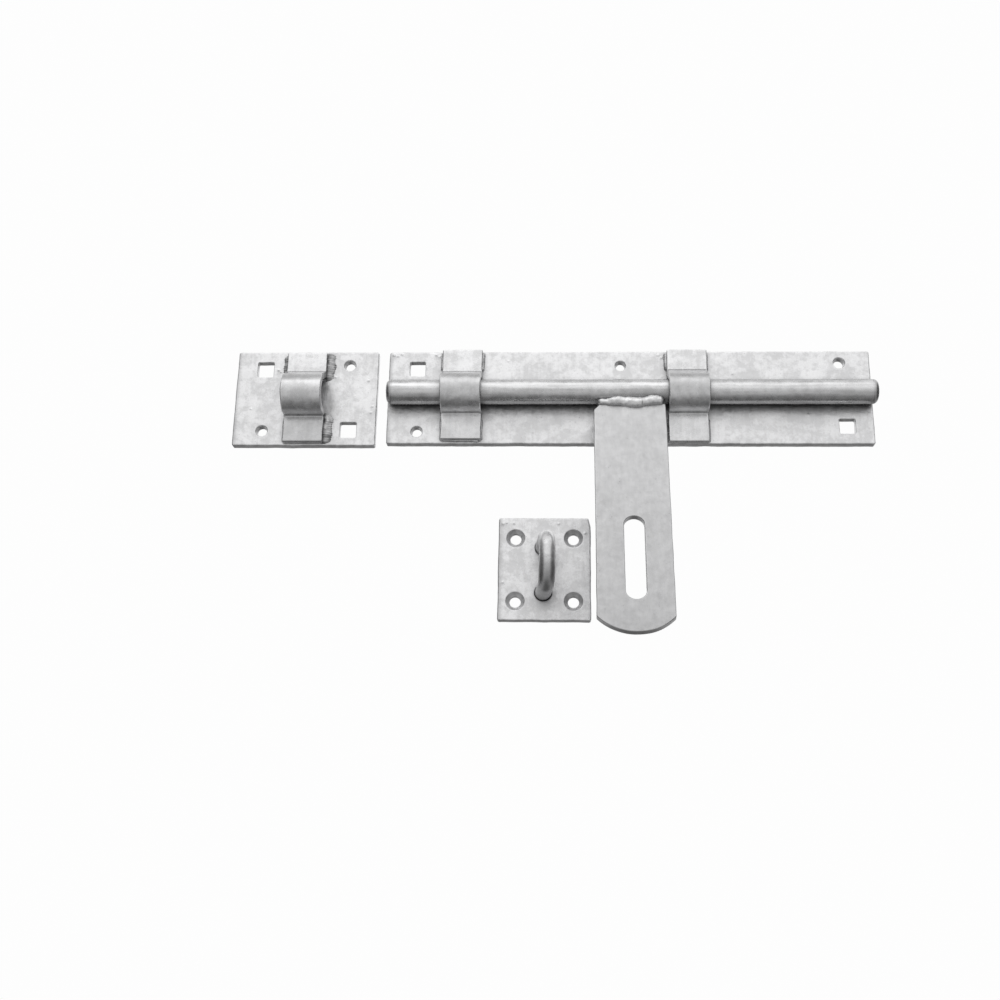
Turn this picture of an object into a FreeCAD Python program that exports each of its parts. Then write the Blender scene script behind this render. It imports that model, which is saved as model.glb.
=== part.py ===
import FreeCAD, Part

import os
from math import cos, radians, sin

V = FreeCAD.Vector

# Frame, in millimetres: X along the bolt (right positive), Y into the door, Z up.
# Y = 0 is the mounting face behind all three plates. The origin is the centre of the back plate's rear
# face, level with the bolt.

# How far a cutter runs past the faces it cuts through, and half the size of the boxes that trim the hasp's
# weld beads.
OVERCUT = 1.0
HASP_TRIM_HALF = 50.0

# Flat plates.
PLATE_T = 5.0
BACK_PLATE_L = 305.0
BACK_PLATE_H = 63.5
KEEPER_PLATE_L = 91.0
KEEPER_PLATE_H = 64.8
KEEPER_PLATE_X = -205.0
KEEPER_PLATE_Z = -0.6
STAPLE_PLATE_L = 56.3
STAPLE_PLATE_H = 64.7
STAPLE_PLATE_X = -52.2
STAPLE_PLATE_Z = -113.1
PLATE_EDGE_R = 0.5
SHORTEST_SOFTENED_EDGE = 20.0
SHEARED_CORNER_X = 1.4
SHEARED_CORNER_Z = 5.5

# Plate holes, (x, z).
SQUARE_HOLE = 10.0
KEEPER_SQUARE_HOLE = 10.5
SQUARE_HOLE_R = 1.0
ROUND_HOLE_R = 3.4
MIDDLE_HOLE_R = 3.2
BACK_SQUARE_HOLES = [(-134.2, 19.7), (136.0, -19.8)]
BACK_ROUND_HOLES = [(-133.4, -23.5), (133.4, 23.5)]
BACK_MIDDLE_HOLE = (-4.7, 21.8)
KEEPER_SQUARE_HOLES = [(-232.4, 19.4), (-177.0, -22.4)]
KEEPER_ROUND_HOLES = [(-232.1, -23.0), (-177.9, 22.2)]
SCREW_HOLE_R = 3.4
SCREW_HEAD_R = 5.75
SCREW_SPACING_X = 35.2
SCREW_SPACING_Z = 39.6
SCREW_CENTRE_Z = -113.7

# Bolt rod.
ROD_R = 7.95
ROD_GAP = 0.4
ROD_L = 306.3
ROD_LEFT_X = -152.3
ROD_END_R = 3.2
AXIS_Y = -(PLATE_T + ROD_GAP + ROD_R)

# Formed straps. A wall is (angle off the plate's normal plane in degrees, radius of the bend at its foot).
STRAP_T = 4.0
STRAP_W = 25.4
STRAP_EDGE_R = 0.6
GUIDE_CLEARANCE = 0.35
LOWER_WALL = (90.0, 1.2)
LEFT_GUIDE_X = -105.3
LEFT_GUIDE_Z = (-29.9, 31.6)
LEFT_GUIDE_UPPER_WALL = (62.0, 1.8)
RIGHT_GUIDE_X = 37.2
RIGHT_GUIDE_Z = (-31.4, 31.4)
RIGHT_GUIDE_UPPER_WALL = (58.0, 2.2)
KEEPER_STRAP_X = -205.1
KEEPER_STRAP_Z = (-31.6, 29.8)
KEEPER_UPPER_WALL = (60.0, 1.6)
KEEPER_HUMP_R = 9.2
KEEPER_HUMP_Z = -0.95
KEEPER_FRONT_GAP = 0.6
KEEPER_HUMP_Y = AXIS_Y + KEEPER_HUMP_R - ROD_R - KEEPER_FRONT_GAP

# Hasp bar, lengths measured down the bar from the bolt's axis.
HASP_T = 4.2
HASP_W = 44.5
HASP_X = 0.2
HASP_TOP = 10.8
HASP_SHOULDER = 161.2
HASP_TIP = 171.0
HASP_CORNER_CUT_X = 4.2
HASP_CORNER_CUT_TO = 15.6
HASP_EDGE_R = 0.5
HASP_RUNNING_GAP = 0.05
SLOT_W = 12.0
SLOT_X = 0.5
SLOT_TOP = 94.2
SLOT_BOTTOM = 150.0
REST_LEAN = 14.5

# Staple loop.
WIRE_R = 5.0
LOOP_PITCH = 28.5
LOOP_HEIGHT = 32.5
LOOP_BEND_R = 10.0
LOOP_X = -52.9
LOOP_Z = -114.0
LOOP_LEAN = 5.5
LOOP_LEG_OVERRUN = 3.0

# Weld beads. Foot bead radii are for upper left, upper right, lower left and lower right.
GUIDE_BEAD_RADII = (1.7, 1.7, 1.6, 1.6)
KEEPER_BEAD_RADII = (3.0, 3.8, 1.4, 3.8)
FOOT_BEAD_INSET = 0.6
UPPER_BEAD_START = 18.6
LOWER_BEAD_START = 16.6
END_BEAD_R = 1.6
END_BEAD_INSET = 0.6
HASP_BEAD_R = 3.0
HASP_BEAD_DOWN = 9.7
HASP_BEAD_OUT = 2.6
HASP_BEAD_X = (-11.5, 18.5)


def box(low, high):
    """Box between two corners given as (x, y, z)."""
    return Part.makeBox(high[0] - low[0], high[1] - low[1], high[2] - low[2], V(*low))


def hole_along_y(x, z, radius):
    """Cylinder through a plate's thickness, for cutting."""
    return Part.makeCylinder(radius, PLATE_T + 2.0 * OVERCUT, V(x, -PLATE_T - OVERCUT, z), V(0, 1, 0))


def square_hole(x, z, side):
    """Square cutter through a plate's thickness, with rounded corners."""
    half = side / 2.0
    cutter = box((x - half, -PLATE_T - OVERCUT, z - half), (x + half, OVERCUT, z + half))
    corners = [e for e in cutter.Edges if abs(e.tangentAt(e.FirstParameter).y) > 0.99]
    return cutter.makeFillet(SQUARE_HOLE_R, corners)


def screw_hole(x, z):
    """Through hole with a 90 degree countersink at the front face."""
    depth = SCREW_HEAD_R - SCREW_HOLE_R
    sink = Part.makeCone(SCREW_HEAD_R, SCREW_HOLE_R, depth, V(x, -PLATE_T, z), V(0, 1, 0))
    return hole_along_y(x, z, SCREW_HOLE_R).fuse(sink)


def softened(solid, face_y, radius):
    """The solid with the straight outer edges of its face at y = face_y rounded."""
    edges = []
    for edge in solid.Edges:
        on_face = all(abs(v.Point.y - face_y) < 1e-6 for v in edge.Vertexes)
        if on_face and isinstance(edge.Curve, Part.Line) and edge.Length > SHORTEST_SOFTENED_EDGE:
            edges.append(edge)
    return solid.makeFillet(radius, edges)


def plate(centre_x, centre_z, length, height):
    """Flat plate with its rear face at Y = 0 and its front edges softened."""
    half_l = length / 2.0
    half_h = height / 2.0
    low = (centre_x - half_l, -PLATE_T, centre_z - half_h)
    high = (centre_x + half_l, 0.0, centre_z + half_h)
    return softened(box(low, high), -PLATE_T, PLATE_EDGE_R)


def make_back_plate():
    solid = plate(0.0, 0.0, BACK_PLATE_L, BACK_PLATE_H)
    for x, z in BACK_SQUARE_HOLES:
        solid = solid.cut(square_hole(x, z, SQUARE_HOLE))
    for x, z in BACK_ROUND_HOLES:
        solid = solid.cut(hole_along_y(x, z, ROUND_HOLE_R))
    return solid.cut(hole_along_y(BACK_MIDDLE_HOLE[0], BACK_MIDDLE_HOLE[1], MIDDLE_HOLE_R))


def make_keeper_plate():
    solid = plate(KEEPER_PLATE_X, KEEPER_PLATE_Z, KEEPER_PLATE_L, KEEPER_PLATE_H)
    for x, z in KEEPER_SQUARE_HOLES:
        solid = solid.cut(square_hole(x, z, KEEPER_SQUARE_HOLE))
    for x, z in KEEPER_ROUND_HOLES:
        solid = solid.cut(hole_along_y(x, z, ROUND_HOLE_R))
    return solid


def make_staple_plate():
    solid = plate(STAPLE_PLATE_X, STAPLE_PLATE_Z, STAPLE_PLATE_L, STAPLE_PLATE_H)
    for side_x in (-1, 1):
        for side_z in (-1, 1):
            x = STAPLE_PLATE_X + side_x * SCREW_SPACING_X / 2.0
            z = SCREW_CENTRE_Z + side_z * SCREW_SPACING_Z / 2.0
            solid = solid.cut(screw_hole(x, z))
    right = STAPLE_PLATE_X + STAPLE_PLATE_L / 2.0
    top = STAPLE_PLATE_Z + STAPLE_PLATE_H / 2.0
    front = -PLATE_T - OVERCUT
    points = [
        V(right - SHEARED_CORNER_X, front, top),
        V(right, front, top - SHEARED_CORNER_Z),
        V(right + OVERCUT, front, top - SHEARED_CORNER_Z),
        V(right + OVERCUT, front, top + OVERCUT),
        V(right - SHEARED_CORNER_X, front, top + OVERCUT),
    ]
    wedge = Part.Face(Part.makePolygon(points + points[:1])).extrude(V(0, PLATE_T + 2.0 * OVERCUT, 0))
    return solid.cut(wedge).cut(loop_solid())


def arc(centre, radius, start, end, x):
    """Arc edge in the YZ plane at x; angles in degrees from +Z towards -Y."""
    points = [on_circle(centre, radius, angle, x) for angle in (start, (start + end) / 2.0, end)]
    return Part.Arc(*points).toShape()


def bend_offset(hump_r, hump_y, wall):
    """Distance in Z from a hump's centre to the centre of the bend at the foot of one wall."""
    angle, bend_r = radians(wall[0]), wall[1]
    bend_y = -PLATE_T - STRAP_T - bend_r
    return (hump_r + bend_r + STRAP_T + cos(angle) * (bend_y - hump_y)) / sin(angle)


def on_circle(centre, radius, angle, x):
    """Point at an angle in degrees from +Z towards -Y."""
    a = radians(angle)
    return V(x, centre[0] - radius * sin(a), centre[1] + radius * cos(a))


def strap(centre_x, z_span, hump_r, hump_y, hump_z, upper_wall, lower_wall):
    """Strip formed over the bolt: two flat feet, two bends and a round hump, open at the back."""
    x = centre_x - STRAP_W / 2.0
    hump = (hump_y, hump_z)
    front_y = -PLATE_T - STRAP_T
    z_low, z_high = z_span
    up_angle, up_r = upper_wall
    low_angle, low_r = lower_wall
    up_bend = (front_y - up_r, hump_z + bend_offset(hump_r, hump_y, upper_wall))
    low_bend = (front_y - low_r, hump_z - bend_offset(hump_r, hump_y, lower_wall))

    def face(thickness):
        """Edges of one side of the strip, from the upper foot down, and its two end points."""
        y = -PLATE_T - thickness
        up_bend_r = up_r + STRAP_T - thickness
        low_bend_r = low_r + STRAP_T - thickness
        radius = hump_r + thickness
        edges = [
            Part.makeLine(V(x, y, z_high), V(x, y, up_bend[1])),
            arc(up_bend, up_bend_r, -90.0, -90.0 - up_angle, x),
            Part.makeLine(
                on_circle(up_bend, up_bend_r, -90.0 - up_angle, x),
                on_circle(hump, radius, 90.0 - up_angle, x),
            ),
            arc(hump, radius, 90.0 - up_angle, 90.0 + low_angle, x),
            Part.makeLine(
                on_circle(hump, radius, 90.0 + low_angle, x),
                on_circle(low_bend, low_bend_r, low_angle - 90.0, x),
            ),
            arc(low_bend, low_bend_r, low_angle - 90.0, -90.0, x),
            Part.makeLine(V(x, y, low_bend[1]), V(x, y, z_low)),
        ]
        return edges, V(x, y, z_high), V(x, y, z_low)

    front, front_top, front_bottom = face(STRAP_T)
    back, back_top, back_bottom = face(0.0)
    ends = [Part.makeLine(front_top, back_top), Part.makeLine(front_bottom, back_bottom)]
    profile = Part.Face(Part.Wire(Part.__sortEdges__(front + back + ends)))
    solid = profile.extrude(V(STRAP_W, 0, 0))
    return softened_ends(solid, front_y, z_span)


def softened_ends(solid, front_y, z_span):
    """The strap with the front edge of each foot's end rounded."""
    edges = []
    for edge in solid.Edges:
        on_end = all(
            abs(v.Point.y - front_y) < 1e-6 and min(abs(v.Point.z - z) for z in z_span) < 1e-6
            for v in edge.Vertexes
        )
        if on_end and edge.Length > STRAP_W - 1.0:
            edges.append(edge)
    return solid.makeFillet(STRAP_EDGE_R, edges)


def make_guide(centre_x, z_span, upper_wall):
    return strap(centre_x, z_span, ROD_R + GUIDE_CLEARANCE, AXIS_Y, 0.0, upper_wall, LOWER_WALL)


def make_keeper_strap():
    hump = (KEEPER_HUMP_R, KEEPER_HUMP_Y, KEEPER_HUMP_Z)
    return strap(KEEPER_STRAP_X, KEEPER_STRAP_Z, *hump, KEEPER_UPPER_WALL, LOWER_WALL)


def capsule(start, end, radius):
    """Round bar with ball ends."""
    direction = end - start
    solid = Part.makeCylinder(radius, direction.Length, start, direction)
    for centre in (start, end):
        solid = solid.fuse(Part.makeSphere(radius, centre))
    return solid.removeSplitter()


def foot_bead(strap_x, side, z_from, z_to, radius):
    """Quarter-round bead in the corner between a strap foot's side and the plate's front face."""
    x = strap_x + side * STRAP_W / 2.0
    z_low = min(z_from, z_to) + radius
    z_high = max(z_from, z_to) - radius
    bead = capsule(V(x, -PLATE_T, z_low), V(x, -PLATE_T, z_high), radius)
    reach = radius + OVERCUT
    low_x = min(x, x + side * reach)
    corner = box((low_x, -PLATE_T - reach, z_low - reach), (low_x + reach, -PLATE_T, z_high + reach))
    return bead.common(corner)


def foot_beads(prefix, strap_x, z_span, radii):
    """The four side beads of one strap, by node name."""
    beads = {}
    z_top = z_span[1] - FOOT_BEAD_INSET
    z_bottom = z_span[0] + FOOT_BEAD_INSET
    for number, (side, side_name) in enumerate(((-1, "left"), (1, "right"))):
        upper = foot_bead(strap_x, side, UPPER_BEAD_START, z_top, radii[number])
        lower = foot_bead(strap_x, side, -LOWER_BEAD_START, z_bottom, radii[number + 2])
        beads[prefix + "_weld_upper_" + side_name] = upper
        beads[prefix + "_weld_lower_" + side_name] = lower
    return beads


def make_end_bead():
    """Bead across the lower end of the left guide."""
    z = LEFT_GUIDE_Z[0]
    half = STRAP_W / 2.0 - END_BEAD_R - END_BEAD_INSET
    start = V(LEFT_GUIDE_X - half, -PLATE_T, z)
    end = V(LEFT_GUIDE_X + half, -PLATE_T, z)
    bead = capsule(start, end, END_BEAD_R)
    reach_z = END_BEAD_R + OVERCUT
    reach_x = half + reach_z
    low = (LEFT_GUIDE_X - reach_x, -PLATE_T - reach_z, z - reach_z)
    high = (LEFT_GUIDE_X + reach_x, -PLATE_T, z)
    return bead.common(box(low, high))


def make_rod():
    solid = Part.makeCylinder(ROD_R, ROD_L, V(ROD_LEFT_X, AXIS_Y, 0), V(1, 0, 0))
    rims = [e for e in solid.Edges if isinstance(e.Curve, Part.Circle)]
    return solid.makeFillet(ROD_END_R, rims)


def leaned(solid):
    """A hasp piece built hanging straight down, turned out to the rest pose."""
    turned = solid.copy()
    turned.rotate(V(0, AXIS_Y, 0), V(1, 0, 0), -REST_LEAN)
    return turned


def hasp_blank():
    """The hasp bar hanging straight down, before it is leaned out."""
    left = HASP_X - HASP_W / 2.0
    right = HASP_X + HASP_W / 2.0
    back = AXIS_Y + HASP_T / 2.0

    def at(x, down):
        return V(x, back, -down)

    nose = Part.Arc(at(right, HASP_SHOULDER), at(HASP_X, HASP_TIP), at(left, HASP_SHOULDER)).toShape()
    outline = [
        Part.makeLine(at(left + HASP_CORNER_CUT_X, HASP_TOP), at(right, HASP_TOP)),
        Part.makeLine(at(right, HASP_TOP), at(right, HASP_SHOULDER)),
        nose,
        Part.makeLine(at(left, HASP_SHOULDER), at(left, HASP_CORNER_CUT_TO)),
        Part.makeLine(at(left, HASP_CORNER_CUT_TO), at(left + HASP_CORNER_CUT_X, HASP_TOP)),
    ]
    blank = Part.Face(Part.Wire(outline)).extrude(V(0, -HASP_T, 0))
    return softened(blank, AXIS_Y - HASP_T / 2.0, HASP_EDGE_R)


def rod_clearance():
    """The space kept for the rod inside the weld beads that turn around it."""
    start = V(-HASP_TRIM_HALF, AXIS_Y, 0)
    return Part.makeCylinder(ROD_R + HASP_RUNNING_GAP, 2.0 * HASP_TRIM_HALF, start, V(1, 0, 0))


def slot_cutter():
    """Round-ended slot through the hasp bar."""
    r = SLOT_W / 2.0
    front = AXIS_Y - HASP_T
    depth = 2.0 * HASP_T
    middle = box((SLOT_X - r, front, -SLOT_BOTTOM + r), (SLOT_X + r, front + depth, -SLOT_TOP - r))
    cutter = middle
    for z in (-SLOT_TOP - r, -SLOT_BOTTOM + r):
        cutter = cutter.fuse(Part.makeCylinder(r, depth, V(SLOT_X, front, z), V(0, 1, 0)))
    return cutter.removeSplitter()


def make_hasp_bar():
    return leaned(hasp_blank().cut(slot_cutter()))


def make_hasp_bead(side):
    """Weld between the rod and one face of the bar; side is -1 at the front, 1 at the back. The front and
    back beads meet on the bar's middle plane, above its top edge."""
    y = AXIS_Y + side * HASP_BEAD_OUT
    bead = capsule(V(HASP_BEAD_X[0], y, -HASP_BEAD_DOWN), V(HASP_BEAD_X[1], y, -HASP_BEAD_DOWN), HASP_BEAD_R)
    half = HASP_TRIM_HALF
    bar = box((-half, AXIS_Y - HASP_T / 2.0, -half), (half, AXIS_Y + HASP_T / 2.0, -HASP_TOP))
    far_side = sorted((AXIS_Y, AXIS_Y - side * half))
    other_half = box((-half, far_side[0], -half), (half, far_side[1], half))
    return leaned(bead.cut(bar).cut(rod_clearance()).cut(other_half))


def loop_solid():
    """Staple loop: two legs, two bends and a flat crown, leaning a little to the right."""
    half = LOOP_PITCH / 2.0
    tip_y = -(PLATE_T + LOOP_HEIGHT - WIRE_R)
    bend_y = tip_y + LOOP_BEND_R
    pieces = []
    for side in (-1, 1):
        z = LOOP_Z + side * half
        bend_z = LOOP_Z + side * (half - LOOP_BEND_R)
        leg_length = LOOP_LEG_OVERRUN - bend_y
        pieces.append(Part.makeCylinder(WIRE_R, leg_length, V(LOOP_X, LOOP_LEG_OVERRUN, z), V(0, -1, 0)))
        ring = Part.makeTorus(LOOP_BEND_R, WIRE_R, V(LOOP_X, bend_y, bend_z), V(1, 0, 0))
        reach = LOOP_BEND_R + WIRE_R + OVERCUT
        z_edges = sorted((bend_z, bend_z + side * reach))
        quarter = box((LOOP_X - reach, bend_y - reach, z_edges[0]), (LOOP_X + reach, bend_y, z_edges[1]))
        pieces.append(ring.common(quarter))
    crown_half = half - LOOP_BEND_R
    crown_start = V(LOOP_X, tip_y, LOOP_Z - crown_half)
    pieces.append(Part.makeCylinder(WIRE_R, 2.0 * crown_half, crown_start, V(0, 0, 1)))
    solid = pieces[0].multiFuse(pieces[1:]).removeSplitter()
    solid.rotate(V(LOOP_X, -PLATE_T, LOOP_Z), V(0, 0, 1), LOOP_LEAN)
    trim = LOOP_PITCH
    behind = box((LOOP_X - trim, 0.0, LOOP_Z - trim), (LOOP_X + trim, trim, LOOP_Z + trim))
    return solid.cut(behind)


def build():
    nodes = {
        "back_plate": make_back_plate(),
        "left_guide": make_guide(LEFT_GUIDE_X, LEFT_GUIDE_Z, LEFT_GUIDE_UPPER_WALL),
        "right_guide": make_guide(RIGHT_GUIDE_X, RIGHT_GUIDE_Z, RIGHT_GUIDE_UPPER_WALL),
        "keeper_plate": make_keeper_plate(),
        "keeper_strap": make_keeper_strap(),
        "staple_plate": make_staple_plate(),
        "staple_loop": loop_solid(),
        "bolt_rod": make_rod(),
        "hasp_bar": make_hasp_bar(),
        "hasp_weld_front": make_hasp_bead(-1),
        "hasp_weld_back": make_hasp_bead(1),
        "left_guide_weld_end": make_end_bead(),
    }
    nodes.update(foot_beads("left_guide", LEFT_GUIDE_X, LEFT_GUIDE_Z, GUIDE_BEAD_RADII))
    nodes.update(foot_beads("right_guide", RIGHT_GUIDE_X, RIGHT_GUIDE_Z, GUIDE_BEAD_RADII))
    nodes.update(foot_beads("keeper", KEEPER_STRAP_X, KEEPER_STRAP_Z, KEEPER_BEAD_RADII))
    return nodes


os.makedirs("parts", exist_ok=True)
for name, shape in build().items():
    shape.exportStep("parts/" + name + ".step")
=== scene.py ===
import math
from collections import namedtuple

import bmesh
import bpy
from mathutils import Matrix, Vector, geometry, noise


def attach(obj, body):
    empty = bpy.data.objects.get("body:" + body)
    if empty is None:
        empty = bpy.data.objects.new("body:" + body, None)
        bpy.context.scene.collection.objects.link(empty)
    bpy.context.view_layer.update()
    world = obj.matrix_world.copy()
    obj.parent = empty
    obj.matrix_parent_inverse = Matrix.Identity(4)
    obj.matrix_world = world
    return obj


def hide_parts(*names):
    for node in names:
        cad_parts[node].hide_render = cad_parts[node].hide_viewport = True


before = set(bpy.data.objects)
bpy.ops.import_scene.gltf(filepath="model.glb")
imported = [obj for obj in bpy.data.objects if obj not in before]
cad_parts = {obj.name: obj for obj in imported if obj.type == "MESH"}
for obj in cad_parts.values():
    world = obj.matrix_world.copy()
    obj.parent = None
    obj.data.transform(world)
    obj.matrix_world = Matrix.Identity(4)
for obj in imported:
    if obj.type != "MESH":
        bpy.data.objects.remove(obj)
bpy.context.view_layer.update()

# Lengths are in millimetres, in the CAD's frame, and become metres when a mesh is made.
MM = 0.001

# Flat plates.
PLATE_T = 5.0
BACK_PLATE_L = 305.0
BACK_PLATE_H = 63.5
KEEPER_PLATE_L = 91.0
KEEPER_PLATE_H = 64.8
KEEPER_PLATE_X = -205.0
KEEPER_PLATE_Z = -0.6
STAPLE_PLATE_L = 56.3
STAPLE_PLATE_H = 64.7
STAPLE_PLATE_X = -52.2
STAPLE_PLATE_Z = -113.1
SHEARED_CORNER_X = 1.4
SHEARED_CORNER_Z = 5.5

# Plate holes, (x, z).
SQUARE_HOLE = 10.0
KEEPER_SQUARE_HOLE = 10.5
ROUND_HOLE_R = 3.4
MIDDLE_HOLE_R = 3.2
BACK_SQUARE_HOLES = [(-134.2, 19.7), (136.0, -19.8)]
BACK_ROUND_HOLES = [(-133.4, -23.5), (133.4, 23.5)]
BACK_MIDDLE_HOLE = (-4.7, 21.8)
KEEPER_SQUARE_HOLES = [(-232.4, 19.4), (-177.0, -22.4)]
KEEPER_ROUND_HOLES = [(-232.1, -23.0), (-177.9, 22.2)]
SCREW_HOLE_R = 3.4
SCREW_HEAD_R = 5.75
SCREW_SPACING_X = 35.2
SCREW_SPACING_Z = 39.6
SCREW_CENTRE_Z = -113.7

# Bolt rod.
ROD_R = 7.95
ROD_L = 306.3
ROD_LEFT_X = -152.3
ROD_END_R = 3.2
AXIS_Y = -13.35

# Formed straps. A wall is its angle in degrees and the radius of the bend at its foot, and hump_r is the
# inner radius of the hump.
Strap = namedtuple("Strap", "x z_low z_high hump_r hump_y hump_z upper_wall lower_wall")
STRAP_T = 4.0
STRAP_W = 25.4
STRAP_CORNER_R = 0.8
STRAP_BACK_CORNER_R = 0.45
STRAP_END_R = 0.6
LOWER_WALL = (90.0, 1.2)
STRAPS = {
    "left_guide": Strap(-105.3, -29.9, 31.6, 8.3, AXIS_Y, 0.0, (62.0, 1.8), LOWER_WALL),
    "right_guide": Strap(37.2, -31.4, 31.4, 8.3, AXIS_Y, 0.0, (58.0, 2.2), LOWER_WALL),
    "keeper_strap": Strap(-205.1, -31.6, 29.8, 9.2, -12.7, -0.95, (60.0, 1.6), LOWER_WALL),
}

# Hasp bar, lengths measured down the bar from the bolt's axis.
HASP_T = 4.2
HASP_W = 44.5
HASP_X = 0.2
HASP_TOP = 10.8
HASP_SHOULDER = 161.2
HASP_TIP = 171.0
HASP_CORNER_CUT_X = 4.2
HASP_CORNER_CUT_TO = 15.6
SLOT_W = 12.0
SLOT_X = 0.5
SLOT_TOP = 94.2
SLOT_BOTTOM = 150.0
HASP_STEP = 2.4
REST_LEAN = math.radians(14.5)

# Staple loop.
WIRE_R = 5.0
LOOP_PITCH = 28.5
LOOP_HEIGHT = 32.5
LOOP_BEND_R = 10.0
LOOP_X = -52.9
LOOP_Z = -114.0
LOOP_LEAN = math.radians(5.5)


def wobble(p, size, seed=0.0):
    """Smooth noise from about -1 to 1 at a point in mm, with features about size mm across."""
    return noise.noise(Vector((p[0] / size + 3.1 * seed, p[1] / size - 5.3 * seed, p[2] / size + seed)))


def rise(value, start, length):
    """0 up to start, rising to 1 at a length beyond it."""
    return min(1.0, max(0.0, (value - start) / length))


def bell(value, middle, reach):
    """1 at the middle, falling smoothly to about a third at the reach."""
    return math.exp(-((value - middle) / reach) ** 2)


# ---------------------------------------------------------------- mesh helpers


# Angles in degrees: from where an edge is shaded sharp, and the longest step round a corner.
SHARP_ANGLE = 38.0
NEVER_SHARP = 180.0
CORNER_STEP = 18.0


def add_object(name, data):
    made = bpy.data.objects.new(name, data)
    bpy.context.scene.collection.objects.link(made)
    return made


def finished(bm, node, body, slot, material=None, sharp=SHARP_ANGLE, grime=None):
    """Turns a bmesh in mm into the piece that stands for one CAD node; the darkening function gives how far
    the colour at a point is darkened, mostly painted shade and in places a weld stain. The material is the
    slot's own unless another is named."""
    bmesh.ops.recalc_face_normals(bm, faces=bm.faces)
    if grime:
        # Stored per vertex: how far the colour is darkened, painted shade almost everywhere and a weld stain
        # in places.
        layer = bm.verts.layers.float.new("grime")
        for v in bm.verts:
            v[layer] = grime(v.co)
    name = node + "_steel"
    mesh = bpy.data.meshes.new(name)
    for f in bm.faces:
        f.smooth = True
    bm.to_mesh(mesh)
    bm.free()
    mesh.transform(Matrix.Scale(MM, 4))
    mesh.set_sharp_from_angle(angle=math.radians(sharp))
    mesh.materials.append(MATERIALS[material or slot])
    piece = add_object(name, mesh)
    weighted = piece.modifiers.new("even_shading", "WEIGHTED_NORMAL")
    weighted.keep_sharp = True
    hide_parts(node)
    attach(piece, body)


def rounded_outline(corners, step):
    """Closed outline through corners (x, z, radius), with long stretches split into steps."""
    bare = []
    count = len(corners)
    for i, (x, z, radius) in enumerate(corners):
        p = Vector((x, z))
        if radius <= 0.0:
            bare.append(p)
            continue
        before = Vector(corners[i - 1][:2]) - p
        after = Vector(corners[(i + 1) % count][:2]) - p
        turn = math.pi - before.angle(after)
        middle = p + (before.normalized() + after.normalized()).normalized() * radius / math.cos(turn / 2.0)
        start = p + before.normalized() * radius * math.tan(turn / 2.0) - middle
        way = 1.0 if before.x * after.y - before.y * after.x < 0.0 else -1.0
        pieces = max(2, math.ceil(math.degrees(turn) / CORNER_STEP))
        for k in range(pieces + 1):
            angle = way * turn * k / pieces
            bare.append(middle + Matrix.Rotation(angle, 2) @ start)
    points = []
    for i, p in enumerate(bare):
        q = bare[(i + 1) % len(bare)]
        parts = max(1, math.ceil((q - p).length / step))
        points += [p.lerp(q, k / parts) for k in range(parts)]
    return points


def circle_outline(x, z, radius, count=40):
    turn = 2.0 * math.pi / count
    return [Vector((x + radius * math.cos(k * turn), z + radius * math.sin(k * turn))) for k in range(count)]


def outward(points):
    """Unit normals that point out of a counter-clockwise outline."""
    normals = []
    for i, p in enumerate(points):
        along = points[(i + 1) % len(points)] - points[i - 1]
        normals.append(Vector((along.y, -along.x)).normalized())
    return normals


def roughened(points, amount, size, seed):
    """The outline moved in and out a little, as a sheared and dipped edge is."""
    return [
        p + n * amount * wobble((p.x, p.y, 0.0), size, seed)
        for p, n in zip(points, outward(points))
    ]


def rim_profile(front_r, back_r, thickness):
    """Rings (inset, depth, rim) from the front face, round the front rim, down the wall to the back."""
    rings = [(front_r + 0.3, 0.0, 0.0)]
    for degrees in (0, 22, 45, 68, 90):
        a = math.radians(degrees)
        rings.append((front_r * (1 - math.sin(a)), front_r * (1 - math.cos(a)), 1.0 if degrees else 0.5))
    rings.append((0.0, thickness / 2.0, 0.15))
    for degrees in (0, 45, 90):
        a = math.radians(degrees)
        rings.append((back_r * (1 - math.cos(a)), thickness - back_r * (1 - math.sin(a)), 0.6))
    return rings


def punched_profile(mouth, taper, thickness):
    """Rings for a punched hole: drawn in at the front by mouth, and narrower at the back by taper."""
    return [
        (mouth + 0.45, 0.0, 0.0),
        (mouth + 0.15, 0.03, 0.5),
        (mouth, 0.14, 0.9),
        (mouth * 0.6, 0.45, 0.4),
        (mouth * 0.2, 1.1, 0.1),
        (-0.4 * taper, thickness * 0.5, 0.0),
        (-taper, thickness - 0.4, 0.1),
        (0.25 - taper, thickness, 0.4),
    ]


def countersink_profile(head, hole, thickness):
    """Rings for a 90 degree countersunk hole whose outline is the bare hole."""
    wide = head - hole
    return [
        (wide + 0.75, 0.0, 0.0),
        (wide + 0.25, 0.0, 0.6),
        (wide + 0.05, 0.08, 1.0),
        (wide - 0.15, 0.3, 0.8),
        (wide * 0.5, 0.15 + wide * 0.5, 0.1),
        (0.15, wide, 0.2),
        (0.0, wide + 0.35, 0.2),
        (0.0, thickness - 0.2, 0.1),
        (0.2, thickness, 0.3),
    ]


def inside(p, polygon):
    odd = False
    j = len(polygon) - 1
    for i, a in enumerate(polygon):
        b = polygon[j]
        if (a.y > p.y) != (b.y > p.y) and p.x < (b.x - a.x) * (p.y - a.y) / (b.y - a.y) + a.x:
            odd = not odd
        j = i
    return odd


def near_any(p, polygons, gap):
    return any((p - q).length_squared < gap * gap for polygon in polygons for q in polygon)


# The points that fill a sheet: the spacing of rows and the jitter as parts of the step, the coarser grid of a
# back face, and round a lump its rings (radius, count) and how far the grid keeps away, in lump radii.
ROW_PITCH = 0.87
JITTER = 0.25
BACK_STEP, BACK_GAP = 9.0, 4.0
LUMP_RINGS = ((0.5, 6), (1.0, 9), (1.6, 11))
LUMP_CLEAR = 2.2
OUTLINE_GAP, POINT_GAP = 0.25, 0.2
LIFT_DEPTH = 1.5


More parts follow.
